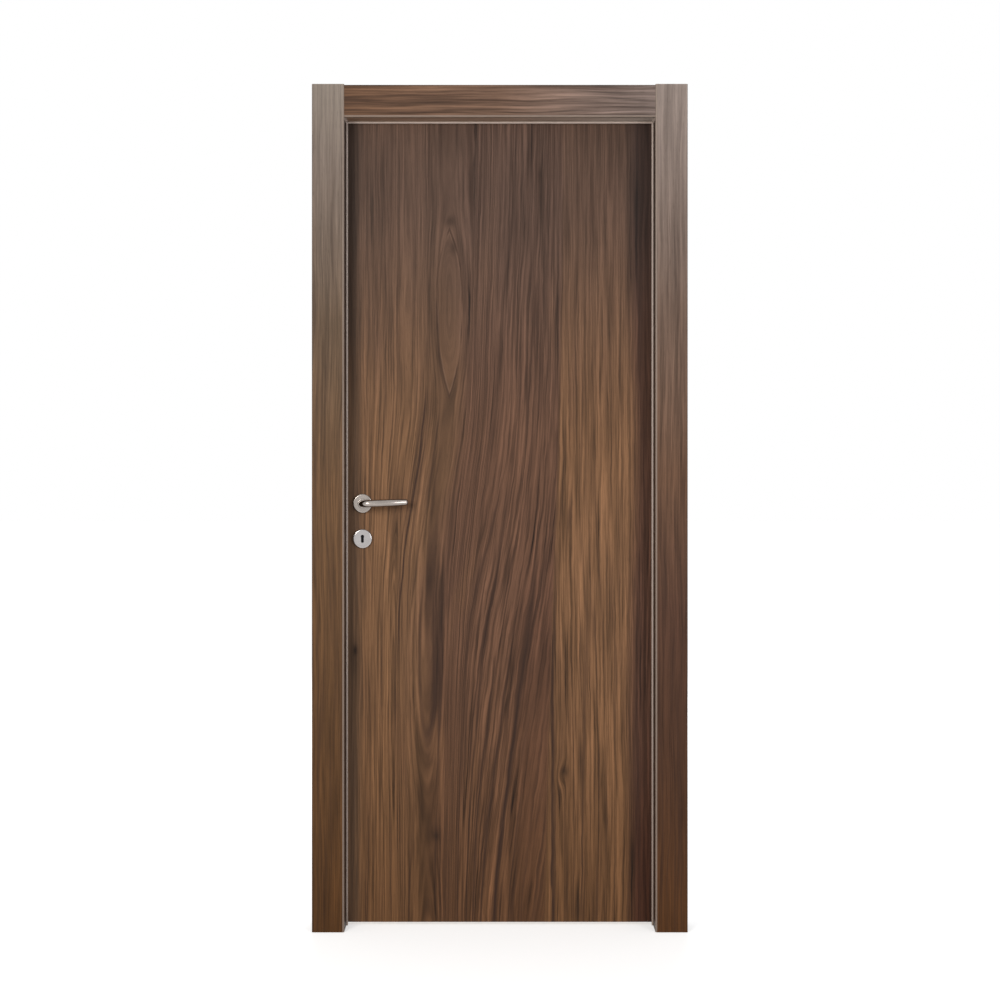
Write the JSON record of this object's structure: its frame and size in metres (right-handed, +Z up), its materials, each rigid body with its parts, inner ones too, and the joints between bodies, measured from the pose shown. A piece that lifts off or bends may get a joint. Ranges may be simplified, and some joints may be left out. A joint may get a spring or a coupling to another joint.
{
  "type": "interior door",
  "caption": "Interior door in a cased frame: flush walnut-veneered leaf hung on butt hinges, recessed behind its stop, with a sprung lever handle and a keyhole plate on each side.",
  "frame": {"origin": "on the wall face of the hinge jamb, at floor level and half way through the depth of the frame", "axes": "+X to the right seen from the side the leaf is recessed on, +Y through the doorway the way the leaf opens, +Z up"},
  "size_m": [0.966, 0.1713, 2.1795],
  "materials": {
    "walnut": "satin",
    "softwood": "matte",
    "seal": "matte",
    "satin_nickel": "satin",
    "lock_steel": "satin"
  },
  "bodies": {
    "frame": {"hinge_jamb": "walnut", "latch_jamb": "walnut", "head_jamb": "walnut", "hinge_side_seal": "seal", "latch_side_seal": "seal", "head_seal": "seal", "front_casing_hinge": "walnut", "front_casing_latch": "walnut", "front_casing_head": "walnut", "back_casing_hinge": "walnut", "back_casing_latch": "walnut", "back_casing_head": "walnut", "strike_plate": "satin_nickel", "upper_hinge_frame": "satin_nickel", "middle_hinge_frame": "satin_nickel", "lower_hinge_frame": "satin_nickel"},
    "leaf": {"leaf_front_skin": "walnut", "leaf_back_skin": "walnut", "leaf_latch_edge": "walnut", "leaf_hinge_edge": "walnut", "leaf_top_edge": "walnut", "leaf_latch_stile": "softwood", "leaf_hinge_stile": "softwood", "leaf_bottom_rail": "softwood", "leaf_top_rail": "softwood", "leaf_lock_block": "softwood", "front_rose": "satin_nickel", "back_rose": "satin_nickel", "front_key_plate": "satin_nickel", "back_key_plate": "satin_nickel", "upper_hinge_leaf": "satin_nickel", "middle_hinge_leaf": "satin_nickel", "lower_hinge_leaf": "satin_nickel", "lock_faceplate": "satin_nickel", "latch_bolt": "satin_nickel", "dead_bolt": "satin_nickel", "lock_case": "lock_steel"},
    "lever": {"front_lever": "satin_nickel", "back_lever": "satin_nickel", "spindle": "lock_steel"}
  },
  "joints": [
    {"name": "leaf_swing", "type": "hinge", "parent": "frame", "child": "leaf", "pos_m": [-0.02875, 0.058, 0], "axis": [0, 0, -1], "range_deg": [0, 120]},
    {"name": "lever_turn", "type": "hinge", "parent": "leaf", "child": "lever", "pos_m": [-0.798, 0.01, 1.1], "axis": [0, 1, 0], "range_deg": [0, 40], "stiffness_Nm_per_rad": 1.2, "springref_deg": -28.65}
  ]
}
